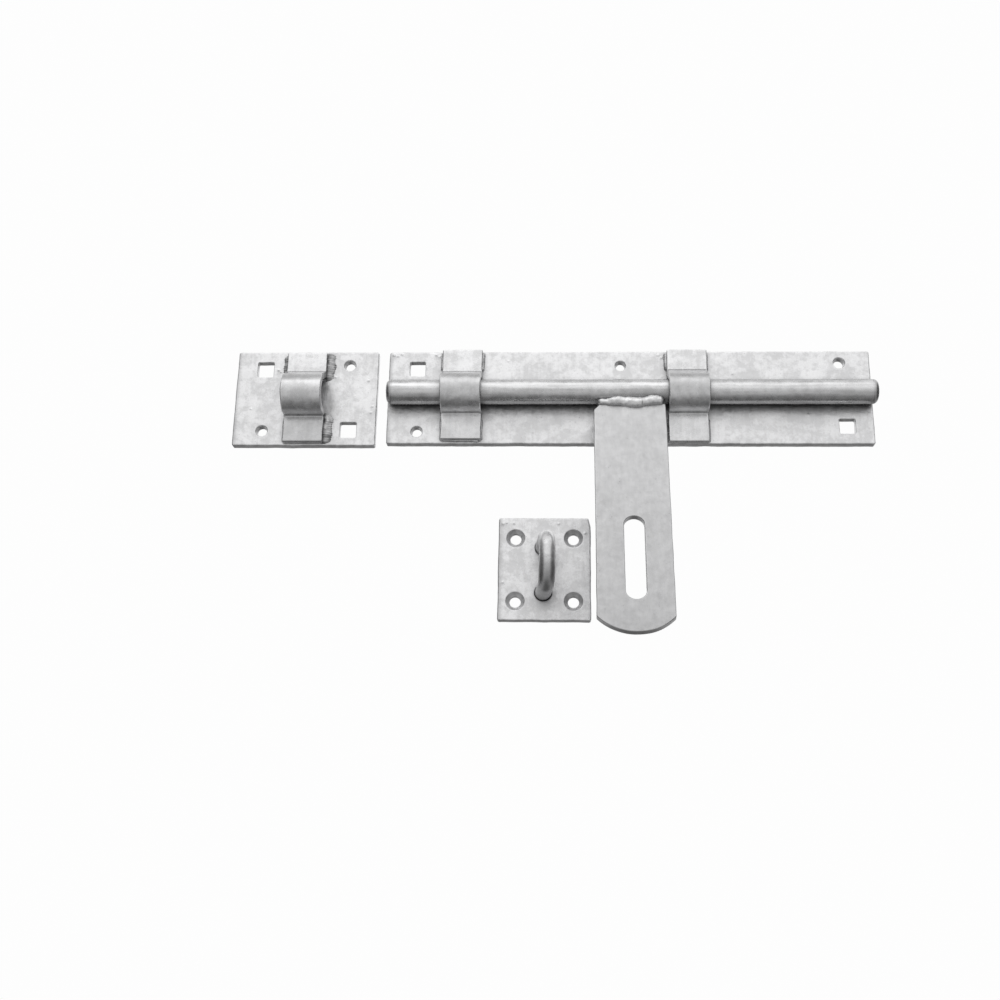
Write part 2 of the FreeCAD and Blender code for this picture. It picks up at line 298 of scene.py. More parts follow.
def fill_points(polygons, step, gap, seed):
    """Points on a staggered grid inside the first polygon and outside the others."""
    xs = [q.x for q in polygons[0]]
    zs = [q.y for q in polygons[0]]
    points = []
    row = 0
    z = min(zs) + step / 2.0
    while z < max(zs):
        x = min(xs) + (step / 2.0 if row % 2 else step)
        while x < max(xs):
            shift = Vector((wobble((x, 0, z), 2.3, seed), wobble((x, 0, z), 2.3, seed + 7)))
            p = Vector((x, z)) + shift * step * JITTER
            good = inside(p, polygons[0]) and not any(inside(p, h) for h in polygons[1:])
            if good and not near_any(p, polygons, gap):
                points.append(p)
            x += step
        z += step * ROW_PITCH
        row += 1
    return points


def fill_between(bm, rings, extra, make):
    """Fills the flat region between rings of existing vertices with triangles, through extra points."""
    polygons = [[v[0] for v in ring] for ring in rings]
    coords = [v[0] for ring in rings for v in ring] + extra
    verts = [v[1] for ring in rings for v in ring] + [make(p) for p in extra]
    edges = []
    first = 0
    for ring in rings:
        edges += [(first + i, first + (i + 1) % len(ring)) for i in range(len(ring))]
        first += len(ring)
    out = geometry.delaunay_2d_cdt(coords, edges, [], 0, 1e-6)
    places, faces, origin = out[0], out[2], out[3]
    for f in faces:
        centre = (places[f[0]] + places[f[1]] + places[f[2]]) / 3.0
        if inside(centre, polygons[0]) and not any(inside(centre, h) for h in polygons[1:]):
            corners = [verts[origin[i][0]] for i in f]
            bm.faces.new(corners)


def sheet(loops, place, wave, step, seed, lumps=()):
    """Closed bmesh of a flat sheet. Each loop is (outline, rings, drift), where drift is how far its wall
    leans in x per mm of depth, and the first is the outer edge. place(u, v, depth) gives a point in the CAD's
    frame, wave(u, v) lifts the front face, and each lump on it is (u, v, radius, height)."""
    bm = bmesh.new()
    rim = bm.verts.layers.float.new("rim")

    def lift(u, v):
        bumps = sum(h * math.exp(-((u - x) ** 2 + (v - z) ** 2) / (r * r)) for x, z, r, h in lumps)
        return wave(u, v) + bumps

    def vert(u, v, depth, value):
        fade = max(0.0, 1.0 - depth / LIFT_DEPTH)
        made = bm.verts.new(place(u, v, depth - lift(u, v) * fade))
        made[rim] = value
        return made

    front, back = [], []
    for number, (outline, rings, drift) in enumerate(loops):
        into = -1.0 if number == 0 else 1.0
        normals = outward(outline)
        built = []
        for inset, depth, value in rings:
            flat = [p + n * into * inset + Vector((drift * depth, 0.0)) for p, n in zip(outline, normals)]
            built.append([(p, vert(p.x, p.y, depth, value)) for p in flat])
        for a, b in zip(built, built[1:]):
            for i in range(len(a)):
                j = (i + 1) % len(a)
                bm.faces.new((a[i][1], a[j][1], b[j][1], b[i][1]))
        front.append(built[0])
        back.append(built[-1])
    thickness = loops[0][1][-1][1]
    polygons = [[v[0] for v in ring] for ring in front]
    grid = fill_points(polygons, step, step * 0.6, seed)
    for x, z, r, h in lumps:
        centre = Vector((x, z))
        grid = [p for p in grid if (p - centre).length > LUMP_CLEAR * r]
        local = [centre] + [
            centre + Vector((math.cos(a), math.sin(a))) * r * k
            for k, n in LUMP_RINGS
            for a in [2 * math.pi * i / n + k for i in range(n)]
        ]
        grid += [
            p for p in local
            if inside(p, polygons[0]) and not any(inside(p, q) for q in polygons[1:])
            and not near_any(p, polygons, OUTLINE_GAP) and not any((p - q).length < POINT_GAP for q in grid)
        ]
    fill_between(bm, front, grid, lambda p: vert(p.x, p.y, 0.0, 0.0))
    polygons = [[v[0] for v in ring] for ring in back]
    grid = fill_points(polygons, BACK_STEP, BACK_GAP, seed)
    fill_between(bm, back, grid, lambda p: vert(p.x, p.y, thickness, 0.0))
    return bm


def tube(stations):
    """Closed bmesh from rings of points, each ring [(point, rim), ...] of the same length."""
    bm = bmesh.new()
    rim = bm.verts.layers.float.new("rim")
    built = []
    for ring in stations:
        row = []
        for p, value in ring:
            v = bm.verts.new(p)
            v[rim] = value
            row.append(v)
        built.append(row)
    for a, b in zip(built, built[1:]):
        for i in range(len(a)):
            j = (i + 1) % len(a)
            bm.faces.new((a[i], a[j], b[j], b[i]))
    for row in (built[0], built[-1]):
        centre = sum((v.co for v in row), Vector()) / len(row)
        hub = bm.verts.new(centre)
        for i in range(len(row)):
            bm.faces.new((row[i], row[(i + 1) % len(row)], hub))
    return bm


# ---------------------------------------------------------------- materials


class Nodes:
    """Adds and links the nodes of one shader tree."""

    def __init__(self, tree):
        self.new = tree.nodes.new
        self.link = tree.links.new

    def add(self, kind, **inputs):
        """New node with inputs set; an underscore stands for the space in an input's name."""
        made = self.new(kind)
        for key, value in inputs.items():
            made.inputs[key.replace("_", " ")].default_value = value
        return made

    def texture(self, kind, source, **inputs):
        made = self.add(kind, **inputs)
        self.link(source, made.inputs["Vector"])
        return made

    def remap(self, source, low, high, to_low, to_high, interpolation="LINEAR"):
        made = self.add("ShaderNodeMapRange", From_Min=low, From_Max=high, To_Min=to_low, To_Max=to_high)
        made.interpolation_type = interpolation
        self.link(source, made.inputs["Value"])
        return made.outputs["Result"]

    def math(self, operation, a, b=None):
        """Result of a math node; a and b are sockets or floats."""
        made = self.new("ShaderNodeMath")
        made.operation = operation
        for socket, value in zip(made.inputs, (a, b)):
            if isinstance(value, float):
                socket.default_value = value
            elif value is not None:
                self.link(value, socket)
        return made.outputs[0]

    def attribute(self, name):
        made = self.new("ShaderNodeAttribute")
        made.attribute_name = name
        return made.outputs["Fac"]

    def mix(self, factor, a, b):
        """Colour between a and b; a is a socket or a colour, and b is a colour."""
        made = self.new("ShaderNodeMix")
        made.data_type = "RGBA"
        if isinstance(a, tuple):
            made.inputs["A"].default_value = a
        else:
            self.link(a, made.inputs["A"])
        made.inputs["B"].default_value = b
        self.link(factor, made.inputs["Factor"])
        return made.outputs["Result"]


# Painted shade: the reach of the ambient occlusion that darkens the colour in hollows, and the tone the
# colour is darkened towards there and wherever the mesh's darkening attribute asks.
CREVICE_SHADE_REACH = 0.005
DIRT_AND_SHADE_TONE = 0.16
RUNS_DOWN = (420.0, 420.0, 38.0)
RUNS_SIDEWAYS = (24.0, 560.0, 560.0)


def galvanised(
    name, bright, dull, rough, mottle, grain, *, bump, wear_and_sheen, streak=0.0, crevice_shade=0.5, along=RUNS_DOWN
):
    """Dull hot-dip zinc: mottled tone, small grains and pits, and runs along one way. Edges are lighter,
    partly scuffed and partly a painted sheen.
    It is darker in hollows and on inner faces, a painted shade from ambient occlusion, and darker where the
    mesh's darkening attribute says, which is mostly painted shade too."""
    material = bpy.data.materials.new(name)
    material.use_nodes = True
    shader = material.node_tree.nodes["Principled BSDF"]
    shader.inputs["Metallic"].default_value = 1.0
    nodes = Nodes(material.node_tree)
    place = nodes.new("ShaderNodeTexCoord").outputs["Object"]

    def tone(value):
        return (value, value, value * 1.008, 1.0)

    def noise_at(scale, detail, roughness):
        made = nodes.texture("ShaderNodeTexNoise", place, Scale=scale, Detail=detail, Roughness=roughness)
        return made.outputs["Fac"]

    cloudy = noise_at(70.0, 4.0, 0.6)
    patches = noise_at(260.0, 5.0, 0.62)
    fine = noise_at(1500.0, 3.0, 0.6)
    stretched = nodes.texture("ShaderNodeMapping", place, Scale=along)
    runs = nodes.texture("ShaderNodeTexNoise", stretched.outputs["Vector"], Scale=1.0, Detail=3.0)
    grains = nodes.texture("ShaderNodeTexVoronoi", place, Scale=310.0)
    grain_tone = nodes.new("ShaderNodeSeparateColor")
    nodes.link(grains.outputs["Color"], grain_tone.inputs["Color"])

    shade = nodes.math("ADD", nodes.remap(cloudy, 0.3, 0.7, -0.5 * mottle, 0.5 * mottle), 0.5)
    for source, low, high, swing in (
        (patches, 0.3, 0.7, 0.6 * mottle),
        (fine, 0.3, 0.7, 0.35 * grain),
        (grain_tone.outputs[0], 0.0, 1.0, 0.3 * grain),
        (runs.outputs["Fac"], 0.3, 0.7, 0.5 * streak),
    ):
        shade = nodes.math("ADD", shade, nodes.remap(source, low, high, -swing, swing))
    # Edges are lightened where the rim attribute is high: partly scuffing, partly a painted sheen.
    edge_brightening = nodes.remap(patches, 0.35, 0.6, 0.35 * wear_and_sheen, wear_and_sheen)
    rubbed_and_sheen = nodes.math("MULTIPLY", nodes.attribute("rim"), edge_brightening)
    colour = nodes.mix(nodes.math("ADD", shade, rubbed_and_sheen), tone(dull), tone(bright))

    pits = nodes.texture("ShaderNodeTexVoronoi", place, Scale=520.0)
    pit = nodes.remap(pits.outputs["Distance"], 0.05, 0.22, 1.0, 0.0)
    pit = nodes.math("MULTIPLY", pit, nodes.remap(patches, 0.5, 0.66, 0.0, 1.0))
    darkened = nodes.mix(nodes.math("MULTIPLY", pit, 0.75), colour, tone(dull * 0.62))

    # Ambient occlusion darkens the colour in hollows and on inner faces: painted shade.
    crevice = nodes.add("ShaderNodeAmbientOcclusion", Distance=CREVICE_SHADE_REACH)
    crevice.samples = 8
    painted_crevice_shade = nodes.remap(crevice.outputs["AO"], 0.4, 0.92, crevice_shade, 0.0)
    patchy = nodes.remap(patches, 0.3, 0.7, 0.8, 1.2)
    # The mesh's darkening attribute, mostly painted shade, is added on and made patchy.
    shade_and_dirt = nodes.math("ADD", painted_crevice_shade, nodes.math("MULTIPLY", nodes.attribute("grime"), patchy))
    nodes.link(nodes.mix(shade_and_dirt, darkened, tone(DIRT_AND_SHADE_TONE)), shader.inputs["Base Color"])

    roughness = nodes.remap(patches, 0.3, 0.7, rough - 0.09, rough + 0.09)
    roughness = nodes.math("ADD", roughness, nodes.remap(fine, 0.3, 0.7, -0.05, 0.05))
    roughness = nodes.math("SUBTRACT", roughness, nodes.math("MULTIPLY", rubbed_and_sheen, 0.12))
    nodes.link(roughness, shader.inputs["Roughness"])

    height = nodes.remap(cloudy, 0.0, 1.0, 0.0, 0.55)
    height = nodes.math("ADD", height, nodes.remap(patches, 0.0, 1.0, 0.0, 0.22))
    height = nodes.math("ADD", height, nodes.remap(fine, 0.0, 1.0, 0.0, 0.035))
    height = nodes.math("SUBTRACT", height, nodes.math("MULTIPLY", pit, 0.05))
    bumped = nodes.add("ShaderNodeBump", Strength=0.55 * bump, Distance=0.0006)
    nodes.link(height, bumped.inputs["Height"])
    nodes.link(bumped.outputs["Normal"], shader.inputs["Normal"])
    return material


MATERIALS = {
    "plate": galvanised("zinc_plate", 0.99, 0.77, 0.42, 1.25, 0.8, streak=0.45, bump=1.9, wear_and_sheen=0.1),
    "strap": galvanised("zinc_strap", 0.98, 0.76, 0.33, 1.05, 0.6, streak=0.5, bump=1.2, wear_and_sheen=0.5),
    "bolt": galvanised(
        "zinc_bolt", 0.86, 0.64, 0.28, 0.70, 0.3, streak=0.9, bump=1.0, wear_and_sheen=0.3, along=RUNS_SIDEWAYS
    ),
    "bar": galvanised("zinc_bar", 0.72, 0.60, 0.46, 0.70, 0.6, streak=0.5, bump=0.9, wear_and_sheen=0.9, crevice_shade=0.25),
    "wire": galvanised("zinc_wire", 0.95, 0.64, 0.36, 0.9, 0.6, bump=1.3, wear_and_sheen=0.4, crevice_shade=0.25),
    "weld": galvanised("zinc_weld", 0.90, 0.58, 0.44, 1.1, 0.8, bump=1.8, wear_and_sheen=0.4, crevice_shade=0.35),
    "bead": galvanised("zinc_bead", 0.98, 0.74, 0.32, 0.8, 0.5, bump=1.4, wear_and_sheen=0.5),
}


# ---------------------------------------------------------------- plates


def flat_place(u, v, depth):
    return Vector((u, -PLATE_T + depth, v))


def gentle(seed, amount=0.07):
    def wave(u, v):
        return amount * wobble((u, 0.0, v), 14.0, seed) + 0.4 * amount * wobble((u, 0.0, v), 5.0, seed + 2)
    return wave


def square_loop(x, z, side, seed):
    h = side / 2.0
    corners = [(x - h, z - h, 1.0), (x + h, z - h, 1.0), (x + h, z + h, 1.0), (x - h, z + h, 1.0)]
    outline = roughened(rounded_outline(corners, 0.8), 0.12, 4.0, seed)
    return (outline, rim_profile(0.45, 0.3, PLATE_T), 0.0)


def round_loop(x, z, radius, seed, mouth=0.45, taper=0.4):
    outline = roughened(circle_outline(x, z, radius), 0.08, 3.0, seed)
    return (outline, punched_profile(mouth, taper, PLATE_T), 0.0)


OUTLINE_STEP = 1.6
PLATE_STEP = 1.6

# Darkening on a plate, as (strength, reach): darker along its left edge, and beside a weld, where it is weld
# stain together with painted shade.
# Along the bolt it is painted shade in bands, (strength, height above the bolt's axis, reach).
LEFT_EDGE_DARKENING = (0.42, 2.8)
SMEAR_STAIN_AND_SHADE = (0.12, 2.6)
BOLT_SHADE_BANDS = ((0.22, 11.8, 1.3), (0.25, -4.5, 2.5))
OUTLINE_MARGIN = 2.0


def make_plate(
    node, centre_x, centre_z, length, height, holes, lumps, seed, sheared=False, hole_shade=0.12,
    under_bolt=False, smear_x=None
):
    """Plate piece; under_bolt adds painted shade in bands along the bolt, and smear_x is where a weld stain
    and painted shade darken the face.
    """
    left, right = centre_x - length / 2.0, centre_x + length / 2.0
    low, high = centre_z - height / 2.0, centre_z + height / 2.0
    corners = [(left, low, 1.3), (right, low, 1.3), (right, high, 1.3), (left, high, 1.3)]
    if sheared:
        corners[2:3] = [(right, high - SHEARED_CORNER_Z, 1.2), (right - SHEARED_CORNER_X, high, 1.2)]
    outline = roughened(rounded_outline(corners, OUTLINE_STEP), 0.22, 9.0, seed)
    outline = roughened(outline, 0.1, 2.6, seed + 1)
    loops = [(outline, rim_profile(0.8, 0.35, PLATE_T), 0.0)] + holes
    bm = sheet(loops, flat_place, gentle(seed), PLATE_STEP, seed, lumps)

    def within_outline(p):
        margin = OUTLINE_MARGIN
        return left + margin < p.x < right - margin and low + margin < p.z < high - margin

    def hole_wall_shade(p):
        """Painted shade on the wall of the nearest hole, by which side of the hole it is on: most on the
        upper left, and below zero on the lower side, which takes back some of the painted shade from ambient
        occlusion.
        """
        flat = Vector((p.x, p.z))
        hole = min(holes, key=lambda loop: (Vector(loop[0][0][:2]) - flat).length)
        centre = sum((Vector(point[:2]) for point in hole[0]), Vector((0.0, 0.0))) / len(hole[0])
        off = (flat - centre).normalized()
        return hole_shade * (0.6 + 1.2 * (off.y - 0.4 * off.x)) - 0.16 * max(0.0, -off.y)

    def grime(p):
        if p.y > -0.05:
            return 0.0
        if p.y > -PLATE_T + 0.25 and within_outline(p):
            return hole_wall_shade(p)
        # Darker along the left edge.
        strength, reach = LEFT_EDGE_DARKENING
        edge = strength * max(0.0, 1.0 - (p.x - left) / reach)
        # Painted shade in bands along the bolt: a dark line above it and shade behind and below it.
        if under_bolt:
            return max(edge, sum(strong * bell(p.z, above, wide) for strong, above, wide in BOLT_SHADE_BANDS))
        if smear_x is None:
            return edge
        # A patchy dark band beside the keeper's weld: weld stain together with painted shade of the hump.
        strength, reach = SMEAR_STAIN_AND_SHADE
        uneven = max(0.0, 1.0 + 1.3 * wobble(p, 3.4, seed + 4.0))
        return max(edge, strength * bell(p.x, smear_x, reach) * uneven)

    finished(bm, node, "mounting", "plate", grime=grime)


def back_plate():
    holes = [square_loop(x, z, SQUARE_HOLE, 11 + i) for i, (x, z) in enumerate(BACK_SQUARE_HOLES)]
    holes += [round_loop(x, z, ROUND_HOLE_R, 21 + i) for i, (x, z) in enumerate(BACK_ROUND_HOLES)]
    holes.append(round_loop(*BACK_MIDDLE_HOLE, MIDDLE_HOLE_R, 31, mouth=0.35, taper=0.5))
    lumps = [
        (-149.6, 29.2, 0.9, 0.7), (-147.2, 28.6, 0.7, 0.5), (-144.6, 30.0, 0.8, 0.5),
        (-122.6, 29.6, 0.9, 0.5), (-120.4, 28.2, 0.8, 0.45), (19.6, 29.0, 0.9, 0.5),
        (21.6, 27.4, 0.8, 0.5), (66.0, 16.0, 0.6, 0.3), (-76.0, 25.0, 0.6, 0.25),
        (112.0, -12.0, 0.7, 0.3), (84.0, -22.0, 0.6, 0.25), (-60.0, -24.0, 0.6, 0.25),
    ]
    make_plate("back_plate", 0.0, 0.0, BACK_PLATE_L, BACK_PLATE_H, holes, lumps, 1.0, under_bolt=True)


def keeper_plate():
    holes = [square_loop(x, z, KEEPER_SQUARE_HOLE, 41 + i) for i, (x, z) in enumerate(KEEPER_SQUARE_HOLES)]
    holes += [round_loop(x, z, ROUND_HOLE_R, 51 + i) for i, (x, z) in enumerate(KEEPER_ROUND_HOLES)]
    lumps = [
        (-224.0, 19.0, 0.8, 0.5), (-222.4, 17.6, 0.6, 0.4), (-165.4, 11.6, 0.9, 0.5),
        (-186.8, 14.0, 0.7, 0.4), (-163.0, -10.6, 0.8, 0.4), (-162.2, -6.4, 0.7, 0.35),
        (-240.0, -8.0, 0.6, 0.25),
    ]
    make_plate(
        "keeper_plate", KEEPER_PLATE_X, KEEPER_PLATE_Z, KEEPER_PLATE_L, KEEPER_PLATE_H, holes, lumps, 2.0,
        smear_x=-189.0,
    )


def staple_plate():
    holes = []
    screw_rings = countersink_profile(SCREW_HEAD_R, SCREW_HOLE_R, PLATE_T)
    for side_x in (-1, 1):
        for side_z in (-1, 1):
            x = STAPLE_PLATE_X + side_x * SCREW_SPACING_X / 2.0
            z = SCREW_CENTRE_Z + side_z * SCREW_SPACING_Z / 2.0
            holes.append((circle_outline(x, z, SCREW_HOLE_R), screw_rings, 0.0))
    drift = -math.tan(LOOP_LEAN)
    # The lower of the loop's two sockets is drawn in a little more at its mouth.
    for side, mouth in ((-1, 0.26), (1, 0.12)):
        rings = [
            (mouth + 0.65, 0.0, 0.0),
            (mouth + 0.3, 0.0, 0.4),
            (mouth + 0.1, 0.12, 0.8),
            (mouth, 0.4, 0.0),
            (0.02, 1.6, 0.0),
            (0.02, PLATE_T - 0.2, 0.0),
            (0.2, PLATE_T, 0.2),
        ]
        holes.append((circle_outline(LOOP_X, LOOP_Z + side * LOOP_PITCH / 2.0, WIRE_R, 36), rings, drift))
    lumps = [
        (-77.6, -84.6, 0.9, 0.6), (-75.4, -84.0, 0.7, 0.5), (-71.0, -84.4, 0.8, 0.5),
        (-77.4, -122.0, 0.8, 0.5), (-43.6, -84.6, 0.8, 0.4), (-27.6, -90.6, 0.8, 0.4),
    ]
    make_plate(
        "staple_plate", STAPLE_PLATE_X, STAPLE_PLATE_Z, STAPLE_PLATE_L, STAPLE_PLATE_H, holes, lumps, 3.0,
        sheared=True, hole_shade=0.15,
    )


# ---------------------------------------------------------------- straps


def strap_path(z_low, z_high, hump_r, hump_y, hump_z, upper_wall, lower_wall):
    """Stations (y, z, facing) down the middle of the strap; facing 0 is away from the door, 90 is up."""
    middle = STRAP_T / 2.0
    foot_y = -PLATE_T - middle + 0.05
    hump_mid = hump_r + middle

    def bend(wall, way):
        """Centre (y, z) and middle radius of the bend at a wall's foot; way is 1 for upper, -1 for lower."""
        angle, bend_r = math.radians(wall[0]), wall[1]
        bend_y = foot_y - middle - bend_r
        offset = (hump_mid + bend_r + middle + math.cos(angle) * (bend_y - hump_y)) / math.sin(angle)
        return (bend_y, hump_z + way * offset), bend_r + middle

    def facing_point(centre, radius, degrees):
        a = math.radians(degrees)
        return (centre[0] - radius * math.cos(a), centre[1] + radius * math.sin(a), degrees)

    def foot(z_from, z_to):
        inset = [0.0, 0.12, 0.3, 0.6]
        length = abs(z_to - z_from)
        steps = inset + [0.6 + (length - 0.6) * k / 12 for k in range(1, 12)]
        way = 1.0 if z_to > z_from else -1.0
        return [(foot_y, z_from + way * s, 0.0) for s in steps]

    def between(a, b):
        """Stations along the straight wall between two others, none when the two are close."""
        length = math.hypot(a[0] - b[0], a[1] - b[1])
        parts = int(length / 0.6)
        return [
            (a[0] + (b[0] - a[0]) * k / parts, a[1] + (b[1] - a[1]) * k / parts, a[2])
            for k in range(1, parts)
        ]

    up, low = upper_wall[0], lower_wall[0]
    up_bend, up_mid = bend(upper_wall, 1.0)
    low_bend, low_mid = bend(lower_wall, -1.0)
    upper = [facing_point(up_bend, -up_mid, up * k / 9) for k in range(10)]
    hump = [facing_point((hump_y, hump_z), hump_mid, up - (up + low) * k / 30) for k in range(31)]
    lower = [facing_point(low_bend, -low_mid, -low + low * k / 9) for k in range(10)]
    stations = foot(z_high, up_bend[1]) + upper + between(upper[-1], hump[0]) + hump
    return stations + between(hump[-1], lower[0]) + lower + foot(z_low, low_bend[1])[::-1]


def strap_section(across=12):
    """Points (x, out, rim) round a strap's cross section, starting at the front face's left."""
    half, mid = STRAP_W / 2.0, STRAP_T / 2.0
    corner, back_corner = STRAP_CORNER_R, STRAP_BACK_CORNER_R
    flat = STRAP_W - 2 * corner
    points = [(-half + corner + flat * k / across, mid, 0.0) for k in range(across + 1)]

    def turn(cx, cy, radius, start):
        """Quarter turn round a corner, from the angle start in degrees."""
        made = []
        for k, value in ((1, 1.0), (2, 1.0), (3, 1.0), (4, 0.4)):
            a = math.radians(start - 22.5 * k)
            made.append((cx + radius * math.cos(a), cy + radius * math.sin(a), value))
        return made

    points += turn(half - corner, mid - corner, corner, 90.0)
    points.append((half, 0.0, 0.0))
    points.append((half, -mid + back_corner, 0.3))
    points += turn(half - back_corner, -mid + back_corner, back_corner, 0.0)
    flat = STRAP_W - 2 * back_corner
    points += [(half - back_corner - flat * k / across, -mid, 0.0) for k in range(1, across)]
    points.append((-half + back_corner, -mid, 0.3))
    points += turn(-half + back_corner, -mid + back_corner, back_corner, -90.0)
    points.append((-half, 0.0, 0.0))
    points.append((-half, mid - corner, 0.3))
    points += turn(-half + corner, mid - corner, corner, 180.0)[:3]
    return points


# For each strap, painted shade: the facing in degrees where the shade on the wall above the hump starts, the
# shade on the lower foot, and the shade on the hump, which starts a little below its middle.
STRAP_SHADE = {
    "left_guide": (30.0, 0.20, 0.34),
    "right_guide": (22.0, 0.11, 0.39),
    "keeper_strap": (12.0, 0.38, 0.12),
}
# Strength of the painted shade on the strap's sides and on the wall above the hump.
STRAP_SIDE_SHADE = 0.5
STRAP_WALL_SHADE = 0.42


def make_strap(node, seed):
    strap = STRAPS[node]
    stations = strap_path(*strap[1:])
    section = strap_section()
    rings = []
    for y, z, degrees in stations:
        a = math.radians(degrees)
        out = Vector((0.0, -math.cos(a), math.sin(a)))
        from_end = min(strap.z_high - z, z - strap.z_low)
        into_end = STRAP_END_R - min(STRAP_END_R, max(0.0, from_end))
        inset = STRAP_END_R - math.sqrt(max(0.0, STRAP_END_R ** 2 - into_end ** 2))
        ring = []
        for x, height, value in section:
            side = x / (STRAP_W / 2.0)
            edge = 0.3 * wobble((side * 50.0, y, z), 7.0, seed) - inset
            px = strap.x + x + side * edge
            if height > 0.0:
                swell = 0.11 * wobble((px, y, z), 8.0, seed + 3) + 0.05 * wobble((px, y, z), 3.0, seed + 5)
                height = height + swell - inset
            end_rim = 0.8 if inset > 0.1 and height > 0.0 else 0.0
            ring.append((Vector((px, y, z)) + out * height, max(value, end_rim)))
        rings.append(ring)
    bend_z = max(z for y, z, degrees in stations if degrees > 0.0)
    wall_start, foot_shade, hump_shade = STRAP_SHADE[node]

    def grime(p):
        """Painted shade on the strap's sides, on the wall above the hump, on the lower foot and on the hump.
        """
        side = rise(abs(p.x - strap.x) - STRAP_W / 2.0, -0.9, 0.9)
        facing = math.degrees(math.atan2(p.z - strap.hump_z, strap.hump_y - p.y))
        wall = rise(facing, wall_start, 10.0) * rise(bend_z + 0.2 - p.z, 0.0, 0.8)
        foot = rise(-p.z, 13.5, 3.0)
        on_hump = p.y < -PLATE_T - STRAP_T - 1.0
        hump = rise(facing, -28.0, 26.0) if on_hump else 0.0
        return max(STRAP_SIDE_SHADE * side ** 3, STRAP_WALL_SHADE * wall, foot_shade * foot, hump_shade * hump)

    finished(tube(rings), node, "mounting", "strap", grime=grime)


# ---------------------------------------------------------------- weld beads


BEAD_STEP = 0.55
RIPPLE_PITCH = 1.5


def bead_rings(start, end, radius, seed, sway=0.35, ripple=0.07, around=20, dip=None, fit=None, girth=None):
    """Rings of an uneven weld bead with rounded ends, rippled across its run. dip(t) and girth(t) move and
    thin it along its run, t from 0 to 1, and fit(p) moves single points."""
    start, end = Vector(start), Vector(end)
    length = (end - start).length
    along = (end - start).normalized()
    side = along.cross(Vector((0.0, 1.0, 0.0))).normalized()
    front = side.cross(along)
    rings = []
    count = max(14, int((length + 2 * radius) / BEAD_STEP))
    overrun = 0.985 * radius
    for k in range(count + 1):
        t = -overrun + (length + 2 * overrun) * k / count
        beyond = max(-t, t - length, 0.0)
        r = math.sqrt(max(0.0, radius * radius - beyond * beyond))
        waves = ripple * math.sin(2 * math.pi * t / RIPPLE_PITCH + seed)
        r *= 1.0 + 0.16 * wobble((t, seed * 9.0, 0.0), 4.5, seed) + waves
        centre = start + along * t
        centre += side * sway * radius * wobble((t, 4.0, seed), 6.0, seed + 1)
        centre += front * 0.2 * radius * wobble((t, 9.0, seed), 5.0, seed + 2)
        if dip:
            centre += side * dip(t / length)
        if girth:
            r *= girth(t / length)
        ring = []
        for i in range(around):
            a = 2 * math.pi * i / around
            p = centre + (side * math.cos(a) + front * math.sin(a)) * r
            p += (p - centre) * 0.1 * wobble(p, 1.6, seed + 4)
            if fit:
                p = fit(p)
            # The rim value is highest along the bead's crest, turned a little to one side, which lightens it:
            # scuffing and a painted highlight.
            ring.append((p, 0.35 * max(0.0, math.sin(a + 0.6))))
        rings.append(ring)
    return rings


# Strap side beads: strap, side, outer z, inner z, radius.
FOOT_BEADS = {
    "left_guide_weld_upper_left": ("left_guide", -1, 31.0, 18.0, 1.25),
    "left_guide_weld_upper_right": ("left_guide", 1, 31.0, 18.0, 1.45),
    "left_guide_weld_lower_left": ("left_guide", -1, -29.6, -15.4, 0.9),
    "left_guide_weld_lower_right": ("left_guide", 1, -29.6, -15.4, 0.9),
    "right_guide_weld_upper_left": ("right_guide", -1, 30.8, 18.0, 1.7),
    "right_guide_weld_upper_right": ("right_guide", 1, 30.8, 18.0, 1.0),
    "right_guide_weld_lower_left": ("right_guide", -1, -30.8, -15.4, 1.2),
    "right_guide_weld_lower_right": ("right_guide", 1, -30.8, -15.4, 1.1),
    "keeper_weld_upper_left": ("keeper_strap", -1, 29.4, 14.0, 3.0),
    "keeper_weld_upper_right": ("keeper_strap", 1, 30.6, 11.0, 3.8),
    "keeper_weld_lower_left": ("keeper_strap", -1, -31.0, -15.4, 1.1),
    "keeper_weld_lower_right": ("keeper_strap", 1, -32.0, -11.0, 3.9),
}
WIDE_BEAD_R = 2.0
RIGHT_SPREAD = 1.3
BEAD_DEPTH = 1.5


def make_foot_bead(node, number):
    strap, side, z_outer, z_inner, radius = FOOT_BEADS[node]
    x = STRAPS[strap].x + side * STRAP_W / 2.0
    way = 1.0 if z_outer > 0 else -1.0
    wide = radius > WIDE_BEAD_R

    def fit(p):
        """Makes a wide bead low and lumpy, spreads it to the right of its strap, and keeps every bead from
        reaching deep into the plate."""
        out = -PLATE_T - p.y
        spread = RIGHT_SPREAD if wide and side > 0 else 1.0
        if wide and out > 0.0:
            out = 0.5 * out * out / radius
            out += min(1.0, out) * (0.5 * wobble(p, 2.2, number + 2.0) + 0.3 * wobble(p, 1.1, number + 7.0))
        return Vector((x + (p.x - x) * spread, -PLATE_T - max(out, -BEAD_DEPTH), p.z))

    def grime(p):
        """A dark line of painted shade where a wide bead meets the strap, and darker patches beyond it."""
        if not wide:
            return 0.0
        line = 0.6 * bell(p.x, x, 1.1)
        return line + 0.32 * max(0.0, 0.8 + 1.4 * wobble(p, 2.4, number + 5.0))

    start = (x, -PLATE_T, z_outer - way * radius)
    end = (x, -PLATE_T, z_inner + way * radius)
    rings = bead_rings(start, end, radius, 3.0 + number * 1.37, fit=fit)
    finished(tube(rings), node, "mounting", "weld", sharp=NEVER_SHARP, grime=grime)


def make_end_bead():
    strap = STRAPS["left_guide"]
    half = STRAP_W / 2.0 - 2.2
    z = strap.z_low + 0.5
    start, end = (strap.x - half, -PLATE_T, z), (strap.x + half, -PLATE_T, z)
    rings = bead_rings(start, end, 1.3, 2.2, sway=0.6, ripple=0.1)
    finished(tube(rings), "left_guide_weld_end", "mounting", "weld", "bead", sharp=NEVER_SHARP)


# ---------------------------------------------------------------- bolt


